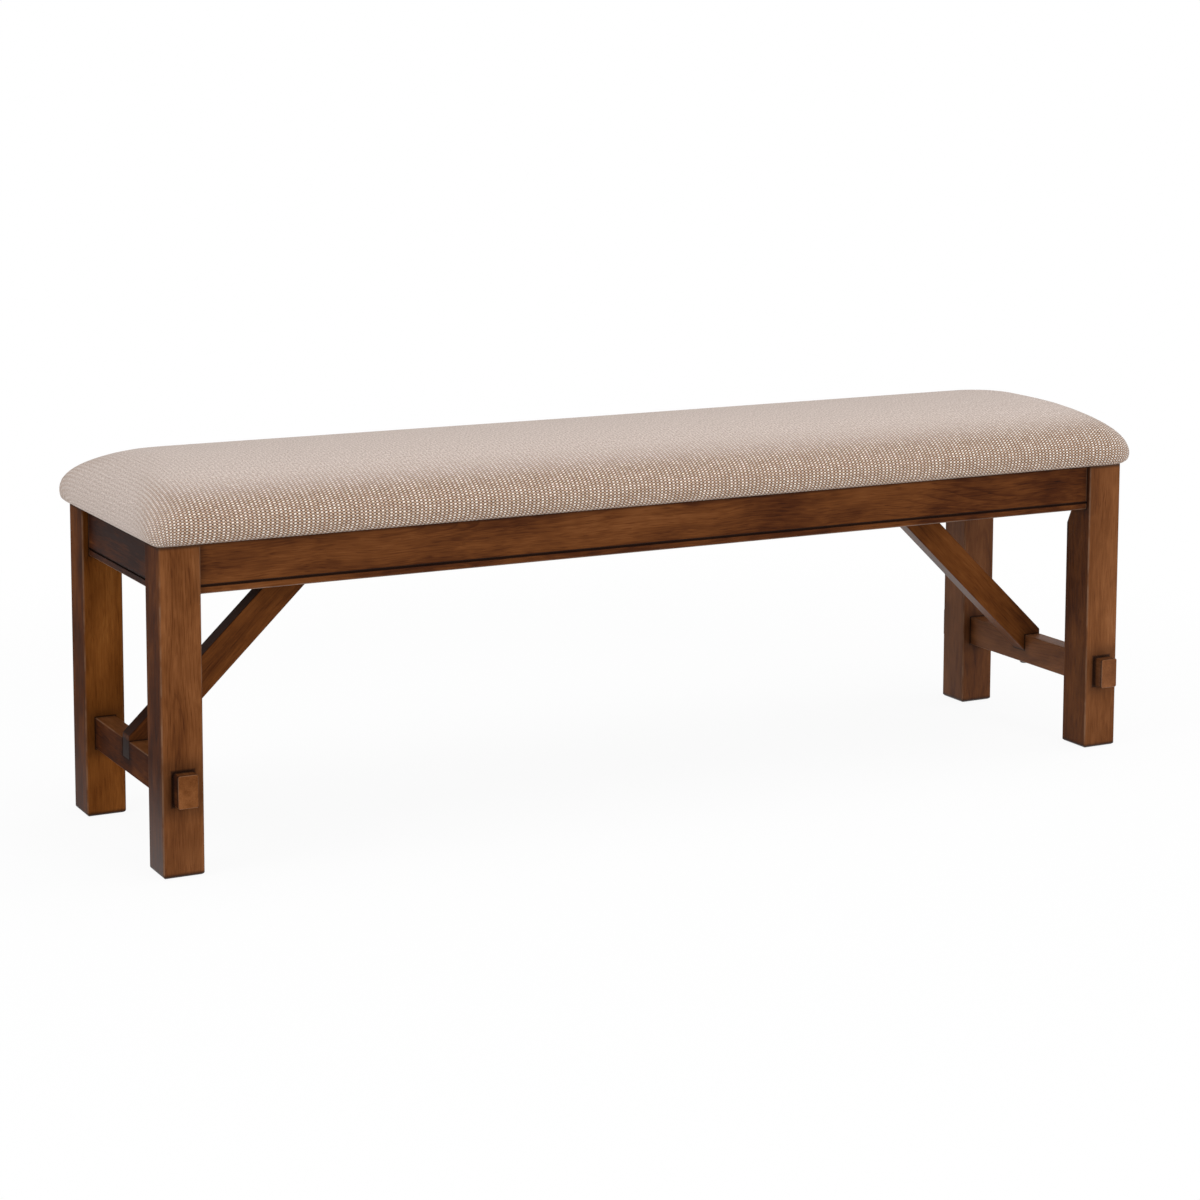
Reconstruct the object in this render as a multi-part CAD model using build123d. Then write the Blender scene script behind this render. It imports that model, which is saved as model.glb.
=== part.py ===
from build123d import *
import os
from math import cos, radians, sin, sqrt, tan

os.makedirs("parts", exist_ok=True)

# All sizes are in millimetres. X runs along the bench (left is -X), Y from front (-Y) to back, Z up.
# The origin is on the floor under the middle of the bench.

# Frame, measured over the posts
frame_length = 1486.0
frame_depth = 372.0
post_top = 426.0
cut_over = 6.0
fit_gap = 0.2

# Posts
post_side = 55.0
post_arris = 2.2
post_foot_round = 6.0
post_corner_flat = 14.0
post_flat_runout = 30.0

# Glides under the posts: a disc with a pin driven up into the post
glide_radius = 11.0
glide_thickness = 1.0
glide_pin_radius = 2.0
glide_pin_length = 16.0

# Aprons, all of one moulded section: a groove above a bead at the lower edge
apron_height = 65.0
apron_thickness = 22.0
side_reveal = 7.0
end_reveal = 9.0
bead_height = 9.0
bead_round = 3.0
groove_width = 2.6
groove_depth = 2.6
groove_lip_round = 0.8

# Dowels: two in each apron end, two in each end of a cross rail
dowel_radius = 5.0
dowel_in_post = 20.0
dowel_in_apron = 20.0
dowel_spacing = 33.0
dowel_end_gap = 1.0
rail_dowel_radius = 4.0
rail_dowel_in_apron = 12.0
rail_dowel_in_rail = 20.0

# End stretchers with a through tenon at each end
stretcher_width = 28.0
stretcher_height = 43.5
stretcher_bottom = 95.0
stretcher_arris = 1.8
tenon_shoulder = 0.5
tenon_proud = 20.5
tenon_corner = 2.5
tenon_end_round = 1.2
mortise_gap = 0.3

# Diagonal braces in the middle plane of the bench
brace_thickness = 28.0
brace_width = 42.0
brace_angle = 43.8
brace_toe_rise = 7.0
brace_toe_round = 4.0
brace_arris = 1.8
brace_top_gap = 4.0

# Cross rails that carry the braces' tops, as high as the aprons
rail_thickness = 22.0

# Corner blocks and their hanger bolts
block_thickness = 24.0
block_height = 46.0
block_stand_off = 8.0
bolt_radius = 4.0
bolt_in_post = 34.0
bolt_past_nut = 8.0
washer_radius = 9.0
washer_thickness = 1.6
nut_flats = 13.0
nut_thickness = 6.5

# Wood screws. The tip share is that of the shank's radius left at the end of the point.
screw_point = 5.0
screw_tip_share = 0.25
block_screw_radius = 2.2
block_screw_length = 26.0
block_screw_head = 4.2
block_screw_spacing = 24.0
block_screw_edge = 14.0
block_screw_sink = 5.0
seat_screw_radius = 2.4
seat_screw_length = 40.0
seat_screw_head = 4.8
seat_screw_bite = 9.0
seat_screw_offset = 22.0
rail_seat_screw_offset = 90.0
rail_screw_radius = 2.6
rail_screw_length = 45.0
rail_screw_head = 5.2
rail_screw_spacing = 20.0
rail_screw_edge = 10.0
foot_screw_radius = 3.0
foot_screw_length = 52.0
foot_screw_head = 6.5
foot_screw_head_height = 3.5
foot_screw_socket = 2.0
foot_screw_socket_depth = 1.6
foot_screw_inset = 4.0

# Seat board, foam, cover and dust cover
board_thickness = 12.0
cover_thickness = 1.6
cover_gap = 0.4
foam_over_edge = 8.0
hem_past_apron = 3.0
dust_thickness = 0.6
dust_gap = 0.5

# The pad. Its widest outline stands past the posts by the overhang. Below it the sides curl in to the hem,
# and above it they roll over to a long narrow crown.
pad_height = 88.0
pad_overhang = 19.0
pad_widest = 23.0
pad_hem_draw = 16.0
pad_end_roll = 102.0
pad_crown_width = 36.0
pad_hem_corner = 8.0
pad_corner = 30.0
pad_crown_corner = 60.0
pad_hem_steps = 5
pad_crown_steps = 12
# A corner takes no more than this share of the outline's depth
pad_corner_limit_share = 0.4

# Places worked out from the sizes above
half_length = frame_length / 2
half_depth = frame_depth / 2
post_inner_x = half_length - post_side
post_inner_y = half_depth - post_side
apron_bottom = post_top - apron_height
side_outer_y = half_depth - side_reveal
side_inner_y = side_outer_y - apron_thickness
end_outer_x = half_length - end_reveal
end_inner_x = end_outer_x - apron_thickness
side_middle_y = (side_outer_y + side_inner_y) / 2
end_middle_x = (end_outer_x + end_inner_x) / 2
dowel_heights = [(apron_bottom + post_top + side * dowel_spacing) / 2 for side in (-1, 1)]

stretcher_x = half_length - post_side / 2
stretcher_inner_x = stretcher_x - stretcher_width / 2
stretcher_outer_x = stretcher_x + stretcher_width / 2
stretcher_top = stretcher_bottom + stretcher_height
foot_screw_x = stretcher_x - foot_screw_inset

brace_slope = tan(radians(brace_angle))
brace_drop = brace_width / cos(radians(brace_angle))
brace_toe_z = stretcher_top + brace_toe_rise
rail_outer_x = stretcher_outer_x - (post_top - brace_top_gap - brace_toe_z) / brace_slope
rail_inner_x = rail_outer_x - rail_thickness
rail_height = apron_height
rail_bottom = post_top - rail_height
rail_middle_x = (rail_outer_x + rail_inner_x) / 2

board_bottom = post_top + cover_thickness
board_top = board_bottom + board_thickness
pad_half_length = half_length + pad_overhang
pad_half_depth = half_depth + pad_overhang


def brace_edge(x, below_top):
    """Height of the brace's slanted edge at x; below_top is 0 on the upper edge."""
    return brace_toe_z - below_top + (stretcher_outer_x - x) * brace_slope


notch_floor = brace_edge(stretcher_inner_x, brace_drop)


# Shared shapes

def block(x_low, x_high, y_low, y_high, z_low, z_high):
    corner = Pos(x_low, y_low, z_low)
    return corner * Box(x_high - x_low, y_high - y_low, z_high - z_low, align=(Align.MIN,) * 3)


def rod(start, direction, length, radius):
    place = Plane(origin=start, z_dir=direction).location
    return place * Cylinder(radius, length, align=(Align.CENTER, Align.CENTER, Align.MIN))


def wood_screw(start, direction, length, radius, head_radius):
    """Countersunk screw: the flat of its head lies at the start point."""
    place = Plane(origin=start, z_dir=direction).location
    low = (Align.CENTER, Align.CENTER, Align.MIN)
    head_height = head_radius - radius
    shank_length = length - head_height - screw_point
    head = Cone(head_radius, radius, head_height, align=low)
    shank = Pos(0, 0, head_height) * Cylinder(radius, shank_length, align=low)
    tip = Cone(radius, radius * screw_tip_share, screw_point, align=low)
    return place * (head + shank + Pos(0, 0, head_height + shank_length) * tip)


def screw_hole(start, direction, length, radius, head_radius):
    """Clearance for a countersunk screw, with a bore for its head back from the start point."""
    place = Plane(origin=start, z_dir=direction).location
    low = (Align.CENTER, Align.CENTER, Align.MIN)
    high = (Align.CENTER, Align.CENTER, Align.MAX)
    head_height = head_radius - radius
    bore = Cylinder(head_radius + fit_gap, length, align=high)
    sink = Cone(head_radius + fit_gap, radius + fit_gap, head_height, align=low)
    shank = Cylinder(radius + fit_gap, length + fit_gap, align=low)
    return place * (bore + sink + shank)


def to_corner(shape, side_x, side_y):
    """Mirrors a shape made for the back right corner to any corner."""
    if side_x < 0:
        shape = shape.mirror(Plane.YZ)
    if side_y < 0:
        shape = shape.mirror(Plane.XZ)
    return shape


def to_side(shape, side_x):
    return to_corner(shape, side_x, 1)


corner_sides = {
    "front_left": (-1, -1),
    "front_right": (1, -1),
    "back_left": (-1, 1),
    "back_right": (1, 1),
}
end_sides = {"left": -1, "right": 1}


def group_at_corners(shape):
    return Compound(children=[to_corner(shape, *sides) for sides in corner_sides.values()])


# Posts, made for the back right corner

def post_flat_cut():
    """The stopped chamfer on the post's inner corner, which runs out below the apron."""
    depth = post_corner_flat / sqrt(2)
    plane = Plane(origin=(post_inner_x, post_inner_y, 0), x_dir=(1, 1, 0), z_dir=(1, -1, 0))
    runout_end = apron_bottom - post_flat_runout
    overrun = cut_over * post_flat_runout / depth
    outline = Polyline(
        (depth, post_top + cut_over),
        (depth, apron_bottom),
        (-cut_over, runout_end - overrun),
        (-cut_over, post_top + cut_over),
        close=True,
    )
    return extrude(plane * make_face(outline), amount=post_side, both=True)


def mortise_cut():
    width = stretcher_width - 2 * tenon_shoulder + 2 * mortise_gap
    height = stretcher_height - 2 * tenon_shoulder + 2 * mortise_gap
    middle = stretcher_bottom + stretcher_height / 2
    place = Plane(origin=(stretcher_x, post_inner_y - cut_over, middle), x_dir=(1, 0, 0), z_dir=(0, 1, 0))
    section = RectangleRounded(width, height, tenon_corner + mortise_gap)
    return extrude(place * section, amount=post_side + 2 * cut_over)


def bolt_start():
    """The hanger bolt's end inside the post, on the diagonal through the inner corner."""
    step = bolt_in_post / sqrt(2)
    return Vector(post_inner_x + step, post_inner_y + step, (2 * post_top - block_height) / 2)


def post_body():
    """A square column with eased arrises, rounded over all round its foot."""
    middle_y = half_depth - post_side / 2
    height = post_top - glide_thickness
    foot = (stretcher_x, middle_y, glide_thickness)
    outline = Pos(0, height / 2) * Rectangle(post_side, height)
    outline = fillet(outline.vertices().group_by(Axis.Y)[0], post_foot_round)
    front = Plane(origin=foot, x_dir=(1, 0, 0), z_dir=(0, -1, 0))
    side = Plane(origin=foot, x_dir=(0, 1, 0), z_dir=(1, 0, 0))
    column = extrude(Pos(*foot) * RectangleRounded(post_side, post_side, post_arris), amount=height)
    across = extrude(front * outline, amount=post_side / 2, both=True)
    along = extrude(side * outline, amount=post_side / 2, both=True)
    return column & across & along


def post():
    wood = post_body() - post_flat_cut()
    wood -= mortise_cut()
    for height in dowel_heights:
        depth = dowel_in_post + dowel_end_gap
        wood -= rod((post_inner_x, side_middle_y, height), (1, 0, 0), depth, dowel_radius + fit_gap)
        wood -= rod((end_middle_x, post_inner_y, height), (0, 1, 0), depth, dowel_radius + fit_gap)
    wood -= rod(bolt_start(), (-1, -1, 0), bolt_in_post, bolt_radius + fit_gap)
    middle = (stretcher_x, half_depth - post_side / 2, glide_thickness)
    wood -= rod(middle, (0, 0, 1), glide_pin_length + fit_gap, glide_pin_radius + fit_gap)
    return wood


def glide():
    middle_y = half_depth - post_side / 2
    disc = rod((stretcher_x, middle_y, 0), (0, 0, 1), glide_thickness, glide_radius)
    pin = rod((stretcher_x, middle_y, glide_thickness), (0, 0, 1), glide_pin_length, glide_pin_radius)
    return disc + pin


# Aprons

def apron_section():
    """Section of the apron: x is 0 on its outer face and negative inwards, y is 0 at its lower edge."""
    lip = bead_height + groove_width
    outline = Polyline(
        (-apron_thickness, 0),
        (0, 0),
        (0, bead_height),
        (-groove_depth, bead_height),
        (-groove_depth, lip),
        (0, lip),
        (0, apron_height),
        (-apron_thickness, apron_height),
        close=True,
    )
    section = make_face(outline)
    outer = section.vertices().group_by(Axis.X)[-1].sort_by(Axis.Y)
    section = fillet(outer[0], bead_round)
    outer = section.vertices().group_by(Axis.X)[-1].sort_by(Axis.Y)
    return fillet(outer[1:3], groove_lip_round)


def side_apron():
    """The back long apron, between the posts."""
    length = 2 * post_inner_x
    plane = Plane(origin=(-post_inner_x, side_outer_y, apron_bottom), x_dir=(0, 1, 0), z_dir=(1, 0, 0))
    wood = extrude(plane * apron_section(), amount=length)
    for side in (-1, 1):
        for height in dowel_heights:
            start = (side * post_inner_x, side_middle_y, height)
            wood -= rod(start, (-side, 0, 0), dowel_in_apron + dowel_end_gap, dowel_radius + fit_gap)
        for height in dowel_heights:
            start = (side * rail_middle_x, side_inner_y, height)
            wood -= rod(start, (0, 1, 0), rail_dowel_in_apron + dowel_end_gap, rail_dowel_radius + fit_gap)
        wood -= to_side(block_screw_holes("side"), side)
    return wood


def end_apron():
    """The right end apron, between the posts."""
    length = 2 * post_inner_y
    plane = Plane(origin=(end_outer_x, post_inner_y, apron_bottom), x_dir=(1, 0, 0), z_dir=(0, -1, 0))
    wood = extrude(plane * apron_section(), amount=length)
    for side in (-1, 1):
        for height in dowel_heights:
            start = (end_middle_x, side * post_inner_y, height)
            wood -= rod(start, (0, -side, 0), dowel_in_apron + dowel_end_gap, dowel_radius + fit_gap)
        wood -= to_corner(block_screw_holes("end"), 1, side)
    return wood


def apron_dowels():
    pegs = []
    length = dowel_in_post + dowel_in_apron
    for side_x, side_y in corner_sides.values():
        for height in dowel_heights:
            in_side = (post_inner_x - dowel_in_apron, side_middle_y, height)
            in_end = (end_middle_x, post_inner_y - dowel_in_apron, height)
            for start, direction in ((in_side, (1, 0, 0)), (in_end, (0, 1, 0))):
                peg = rod(start, direction, length, dowel_radius)
                pegs.append(to_corner(peg, side_x, side_y))
    return Compound(children=pegs)


# End stretchers, made for the right end

def foot_screw_start():
    return (foot_screw_x, 0, stretcher_bottom - foot_screw_head_height)


def foot_screw_length_in_wood():
    return foot_screw_head_height + foot_screw_length


def stretcher():
    rail = block(
        stretcher_inner_x,
        stretcher_outer_x,
        -post_inner_y,
        post_inner_y,
        stretcher_bottom,
        stretcher_top,
    )
    rail = fillet(rail.edges().filter_by(Axis.Y), stretcher_arris)
    tenon = block(
        stretcher_inner_x + tenon_shoulder,
        stretcher_outer_x - tenon_shoulder,
        -half_depth - tenon_proud,
        half_depth + tenon_proud,
        stretcher_bottom + tenon_shoulder,
        stretcher_top - tenon_shoulder,
    )
    tenon = fillet(tenon.edges().filter_by(Axis.Y), tenon_corner)
    ends = tenon.faces().sort_by(Axis.Y)
    tenon = fillet(ends[0].edges() + ends[-1].edges(), tenon_end_round)
    notch_half = brace_thickness / 2 + fit_gap
    notch = block(
        stretcher_inner_x - cut_over,
        stretcher_outer_x + cut_over,
        -notch_half,
        notch_half,
        notch_floor,
        stretcher_top + cut_over,
    )
    hole = rod(foot_screw_start(), (0, 0, 1), foot_screw_length_in_wood(), foot_screw_radius + fit_gap)
    return rail + tenon - notch - hole


# Braces, made for the right end

def brace():
    """A bar cut level at its foot, plumb at its toe and plumb at its top, where it meets the cross rail."""
    outline = Polyline(
        (stretcher_inner_x, notch_floor),
        (stretcher_outer_x, notch_floor),
        (stretcher_outer_x, brace_toe_z),
        (rail_outer_x, brace_edge(rail_outer_x, 0)),
        (rail_outer_x, brace_edge(rail_outer_x, brace_drop)),
        close=True,
    )
    face = make_face(outline)
    toe = face.vertices().sort_by_distance((stretcher_outer_x, brace_toe_z))[0]
    face = fillet(toe, brace_toe_round)
    plane = Plane(origin=(0, 0, 0), x_dir=(1, 0, 0), z_dir=(0, -1, 0))
    bar = extrude(plane * face, amount=brace_thickness / 2, both=True)
    slope = Axis((0, 0, 0), (-1, 0, brace_slope))
    bar = fillet(bar.edges().filter_by(slope), brace_arris)
    bar -= rod(foot_screw_start(), (0, 0, 1), foot_screw_length_in_wood(), foot_screw_radius + fit_gap)
    bar -= rail_screw_holes()
    return bar


def foot_screw():
    """Pan-headed screw up through the stretcher into the brace's foot, with a socket in its head."""
    start = foot_screw_start()
    low = (Align.CENTER, Align.CENTER, Align.MIN)
    head = Pos(*start) * Cylinder(foot_screw_head, foot_screw_head_height, align=low)
    head = fillet(head.edges().sort_by(Axis.Z)[0], foot_screw_head_height / 2)
    socket = extrude(Pos(*start) * RegularPolygon(foot_screw_socket, 6), amount=foot_screw_socket_depth)
    shank_length = foot_screw_length - screw_point
    shank = rod((foot_screw_x, 0, stretcher_bottom), (0, 0, 1), shank_length, foot_screw_radius)
    tip = Cone(foot_screw_radius, foot_screw_radius * screw_tip_share, screw_point, align=low)
    return head - socket + shank + Pos(foot_screw_x, 0, stretcher_bottom + shank_length) * tip


def foot_screws():
    return Compound(children=[to_side(foot_screw(), side) for side in end_sides.values()])


# Cross rails, made for the right end

def rail_screw_starts():
    lower = brace_edge(rail_outer_x, brace_drop) + rail_screw_edge
    return [(rail_inner_x, 0, height) for height in (lower, lower + rail_screw_spacing)]


def rail_screw_holes():
    holes = [
        screw_hole(start, (1, 0, 0), rail_screw_length, rail_screw_radius, rail_screw_head)
        for start in rail_screw_starts()
    ]
    return holes[0] + holes[1]


def rail_screws():
    screws = []
    for side in end_sides.values():
        for start in rail_screw_starts():
            screw = wood_screw(start, (1, 0, 0), rail_screw_length, rail_screw_radius, rail_screw_head)
            screws.append(to_side(screw, side))
    return Compound(children=screws)


def rail_seat_screw_starts():
    height = board_bottom + seat_screw_bite - seat_screw_length
    return [(rail_middle_x, side * rail_seat_screw_offset, height) for side in (-1, 1)]


def cross_rail():
    wood = block(rail_inner_x, rail_outer_x, -side_inner_y, side_inner_y, rail_bottom, post_top)
    for side in (-1, 1):
        for height in dowel_heights:
            start = (rail_middle_x, side * side_inner_y, height)
            wood -= rod(start, (0, -side, 0), rail_dowel_in_rail + dowel_end_gap, rail_dowel_radius + fit_gap)
    wood -= rail_screw_holes()
    for start in rail_seat_screw_starts():
        wood -= seat_screw_hole(start)
    return wood


def rail_dowels():
    pegs = []
    length = rail_dowel_in_apron + rail_dowel_in_rail
    for side_x, side_y in corner_sides.values():
        for height in dowel_heights:
            start = (rail_middle_x, side_inner_y - rail_dowel_in_rail, height)
            peg = rod(start, (0, 1, 0), length, rail_dowel_radius)
            pegs.append(to_corner(peg, side_x, side_y))
    return Compound(children=pegs)


# Corner blocks, made for the back right corner. A face at 45 degrees has x + y constant.

block_outer_sum = post_inner_x + post_inner_y + post_corner_flat - block_stand_off * sqrt(2)
block_inner_sum = block_outer_sum - block_thickness * sqrt(2)
block_bottom = post_top - block_height
block_middle_z = (post_top + block_bottom) / 2


def block_screw_places():
    """Start points and directions of one block's screws: two into the long apron, two into the end apron."""
    x = block_inner_sum - side_inner_y + block_screw_edge
    y = block_inner_sum - end_inner_x + block_screw_edge
    back = block_screw_edge - block_screw_sink
    heights = [block_middle_z + side * block_screw_spacing / 2 for side in (-1, 1)]
    into_side = [((x, side_inner_y - back, height), (0, 1, 0)) for height in heights]
    into_end = [((end_inner_x - back, y, height), (1, 0, 0)) for height in heights]
    return {"side": into_side, "end": into_end}


def block_screw_holes(which):
    cuts = [
        screw_hole(start, direction, block_screw_length, block_screw_radius, block_screw_head)
        for start, direction in block_screw_places()[which]
    ]
    return cuts[0] + cuts[1]


def seat_screw_hole(start):
    return screw_hole(start, (0, 0, 1), seat_screw_length, seat_screw_radius, seat_screw_head)


def block_seat_screw_start():
    middle_sum = (block_outer_sum + block_inner_sum) / 2
    diagonal = post_inner_x - post_inner_y
    x = (middle_sum + diagonal) / 2 - seat_screw_offset / sqrt(2)
    return (x, middle_sum - x, board_bottom + seat_screw_bite - seat_screw_length)


def corner_block():
    outline = Polyline(
        (block_outer_sum - side_inner_y, side_inner_y),
        (block_inner_sum - side_inner_y, side_inner_y),
        (end_inner_x, block_inner_sum - end_inner_x),
        (end_inner_x, block_outer_sum - end_inner_x),
        close=True,
    )
    wood = extrude(Plane(origin=(0, 0, block_bottom)) * make_face(outline), amount=block_height)
    wood -= rod(bolt_start(), (-1, -1, 0), bolt_grip() + cut_over, bolt_radius + fit_gap)
    wood -= block_screw_holes("side") + block_screw_holes("end")
    wood -= seat_screw_hole(block_seat_screw_start())
    return wood


def block_screws():
    screws = []
    for side_x, side_y in corner_sides.values():
        places = block_screw_places()
        for start, direction in places["side"] + places["end"]:
            screw = wood_screw(start, direction, block_screw_length, block_screw_radius, block_screw_head)
            screws.append(to_corner(screw, side_x, side_y))
    return Compound(children=screws)


def bolt_seat():
    """Where the washer lies: the middle of the block's inner face."""
    diagonal = post_inner_x - post_inner_y
    return Vector((block_inner_sum + diagonal) / 2, (block_inner_sum - diagonal) / 2, block_middle_z)


def bolt_grip():
    return (bolt_start() - bolt_seat()).length


def hanger_bolt():
    reach = bolt_grip() + washer_thickness + nut_thickness + bolt_past_nut
    return rod(bolt_start(), (-1, -1, 0), reach, bolt_radius)


def bolt_washer():
    ring = rod(bolt_seat(), (-1, -1, 0), washer_thickness, washer_radius)
    return ring - rod(bolt_seat(), (-1, -1, 0), washer_thickness, bolt_radius + fit_gap)


def bolt_nut():
    step = washer_thickness / sqrt(2)
    seat = bolt_seat() - Vector(step, step, 0)
    place = Plane(origin=seat, x_dir=(0, 0, 1), z_dir=(-1, -1, 0))
    hexagon = RegularPolygon(nut_flats / 2, 6, major_radius=False)
    body = extrude(place * hexagon, amount=nut_thickness)
    return body - rod(seat, (-1, -1, 0), nut_thickness, bolt_radius + fit_gap)


# Seat

def pad_levels():
    """The pad's outlines from the hem up: height, how far ends and sides are drawn in, and corner radius."""
    levels = []
    for step in range(pad_hem_steps):
        turn = radians(90 * step / pad_hem_steps)
        height = pad_widest * (1 - cos(turn))
        draw = pad_hem_draw * (1 - sin(turn))
        corner = pad_hem_corner + (pad_corner - pad_hem_corner) * height / pad_widest
        levels.append((height, draw, draw, corner))
    side_roll = pad_half_depth - pad_crown_width / 2
    for step in range(pad_crown_steps + 1):
        turn = radians(90 * step / pad_crown_steps)
        height = pad_widest + (pad_height - pad_widest) * sin(turn)
        end_draw = pad_end_roll * (1 - cos(turn))
        side_draw = side_roll * (1 - cos(turn))
        corner = pad_corner + (pad_crown_corner - pad_corner) * sin(turn)
        levels.append((height, end_draw, side_draw, corner))
    return levels


def pad_outline(level, inset):
    """One level outline of the pad, drawn in all round by the inset."""
    height, end_draw, side_draw, corner = level
    length = 2 * (pad_half_length - end_draw - inset)
    depth = 2 * (pad_half_depth - side_draw - inset)
    return RectangleRounded(length, depth, min(corner, pad_corner_limit_share * depth))


def pad_form(inset):
    """The pad's crowned form, drawn in all round, over and under by the inset."""
    sections = []
    for level in pad_levels():
        height = post_top + inset + (1 - 2 * inset / pad_height) * level[0]
        sections.append(Plane(origin=(0, 0, height)) * pad_outline(level, inset))
    return loft(sections, ruled=True)


def hem_opening():
    length = 2 * (end_inner_x + hem_past_apron)
    depth = 2 * (side_inner_y + hem_past_apron)
    return length, depth


def seat_cover():
    length, depth = hem_opening()
    shell = pad_form(0) - pad_form(cover_thickness)
    opening = Plane(origin=(0, 0, post_top - cut_over)) * Rectangle(length, depth)
    return shell - extrude(opening, amount=cut_over + cover_thickness + fit_gap)


def seat_foam():
    """Foam over the board and round its edge."""
    form = pad_form(cover_thickness + cover_gap)
    room = Plane(origin=(0, 0, post_top)) * board_outline(fit_gap)
    return form - extrude(room, amount=board_top - post_top)


def board_outline(clearance):
    return pad_outline(pad_levels()[0], cover_thickness + cover_gap + foam_over_edge - clearance)


def seat_board():
    wood = extrude(Plane(origin=(0, 0, board_bottom)) * board_outline(0), amount=board_thickness)
    for start in seat_screw_starts():
        wood -= seat_screw_hole(start)
    return wood


def dust_cover():
    length, depth = hem_opening()
    sheet = Rectangle(length - 2 * dust_gap, depth - 2 * dust_gap)
    cloth = extrude(Plane(origin=(0, 0, board_bottom - dust_thickness)) * sheet, amount=dust_thickness)
    for start in seat_screw_starts():
        cloth -= seat_screw_hole(start)
    return cloth


def seat_screw_starts():
    starts = []
    for side_x, side_y in corner_sides.values():
        x, y, z = block_seat_screw_start()
        starts.append((side_x * x, side_y * y, z))
    for side in end_sides.values():
        for x, y, z in rail_seat_screw_starts():
            starts.append((side * x, y, z))
    return starts


def seat_screws():
    screws = [
        wood_screw(start, (0, 0, 1), seat_screw_length, seat_screw_radius, seat_screw_head)
        for start in seat_screw_starts()
    ]
    return Compound(children=screws)


# The bench

def bench():
    pieces = {}
    for name, sides in corner_sides.items():
        pieces["leg_" + name] = to_corner(post(), *sides)
        pieces["corner_block_" + name] = to_corner(corner_block(), *sides)
    for name, side in end_sides.items():
        pieces["apron_" + name] = to_side(end_apron(), side)
        pieces["stretcher_" + name] = to_side(stretcher(), side)
        pieces["brace_" + name] = to_side(brace(), side)
        pieces["cross_rail_" + name] = to_side(cross_rail(), side)
    pieces["apron_front"] = to_corner(side_apron(), 1, -1)
    pieces["apron_back"] = side_apron()
    pieces["apron_dowels"] = apron_dowels()
    pieces["rail_dowels"] = rail_dowels()
    pieces["block_screws"] = block_screws()
    pieces["hanger_bolts"] = group_at_corners(hanger_bolt())
    pieces["bolt_washers"] = group_at_corners(bolt_washer())
    pieces["bolt_nuts"] = group_at_corners(bolt_nut())
    pieces["rail_screws"] = rail_screws()
    pieces["brace_foot_screws"] = foot_screws()
    pieces["glides"] = group_at_corners(glide())
    pieces["seat_board"] = seat_board()
    pieces["seat_foam"] = seat_foam()
    pieces["seat_cover"] = seat_cover()
    pieces["dust_cover"] = dust_cover()
    pieces["seat_screws"] = seat_screws()
    return pieces


for node, shape in bench().items():
    export_step(shape, "parts/" + node + ".step")
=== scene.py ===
"""A dining bench in dark stained wood with a woven pad, on a white studio floor."""
from math import cos, pi, radians, sin

import bmesh
import bpy
import numpy as np
from mathutils import Matrix, Vector, noise


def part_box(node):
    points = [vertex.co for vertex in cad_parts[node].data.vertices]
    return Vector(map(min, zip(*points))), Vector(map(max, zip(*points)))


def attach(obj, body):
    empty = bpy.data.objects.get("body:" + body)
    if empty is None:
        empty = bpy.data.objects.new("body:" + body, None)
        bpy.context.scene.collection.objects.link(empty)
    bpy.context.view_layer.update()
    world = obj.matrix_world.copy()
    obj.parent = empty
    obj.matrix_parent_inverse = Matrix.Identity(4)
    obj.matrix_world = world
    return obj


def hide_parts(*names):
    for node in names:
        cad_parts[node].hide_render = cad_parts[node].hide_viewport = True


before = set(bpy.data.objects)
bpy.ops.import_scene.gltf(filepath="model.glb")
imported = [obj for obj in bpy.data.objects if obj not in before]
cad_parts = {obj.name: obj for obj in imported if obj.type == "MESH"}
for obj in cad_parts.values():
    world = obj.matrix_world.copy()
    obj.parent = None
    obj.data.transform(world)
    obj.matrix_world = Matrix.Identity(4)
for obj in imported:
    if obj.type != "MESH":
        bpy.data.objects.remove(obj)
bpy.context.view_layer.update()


# Camera. It stands front left of the bench at the height of a seated person's head, with a long lens, and
# the frame is shifted down so that the bench's uprights stay upright in the picture.
def add_object(name, data):
    """A new object in the scene."""
    made = bpy.data.objects.new(name, data)
    bpy.context.scene.collection.objects.link(made)
    return made


camera = add_object("camera", bpy.data.cameras.new("camera"))
camera.data.lens = 85.4346
camera.data.sensor_width = 36.0
camera.data.shift_y = -0.20833
camera.data.clip_end = 100.0
stand = (-1.863447, -3.526486, 1.086181)
turn, dip, lean = 0.479626, 0.117608, 0.0024626
ahead = Vector((sin(turn) * cos(dip), cos(turn) * cos(dip), -sin(dip)))
across = Vector((cos(turn), -sin(turn), 0.0))
upward = across.cross(ahead)
right = cos(lean) * across + sin(lean) * upward
up = cos(lean) * upward - sin(lean) * across
camera.matrix_world = Matrix.Translation(stand) @ Matrix((right, up, -ahead)).transposed().to_4x4()
bpy.context.scene.camera = camera
bpy.context.scene.view_settings.view_transform = "Standard"


# Studio. A white floor and white surroundings, as in a cut-out product picture. The floor is plain matt paint
# that still takes the bench's shadow, and four soft boxes light it from the front, above and both sides.
def put(tree, kind, sockets=None, **settings):
    """A new shader node with its settings, and its sockets set or linked."""
    made = tree.nodes.new(kind)
    for key, value in settings.items():
        setattr(made, key, value)
    for key, value in (sockets or {}).items():
        if isinstance(value, bpy.types.NodeSocket):
            tree.links.new(value, made.inputs[key])
        else:
            made.inputs[key].default_value = value
    return made


def calc(tree, operation, *values):
    return put(tree, "ShaderNodeMath", dict(enumerate(values)), operation=operation).outputs[0]


def spread(tree, value, low, high, to_low=0.0, to_high=1.0):
    """The value taken from one range to another, eased at both ends."""
    sockets = {"Value": value, "From Min": low, "From Max": high, "To Min": to_low, "To Max": to_high}
    return put(tree, "ShaderNodeMapRange", sockets, interpolation_type="SMOOTHSTEP").outputs[0]


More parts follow.
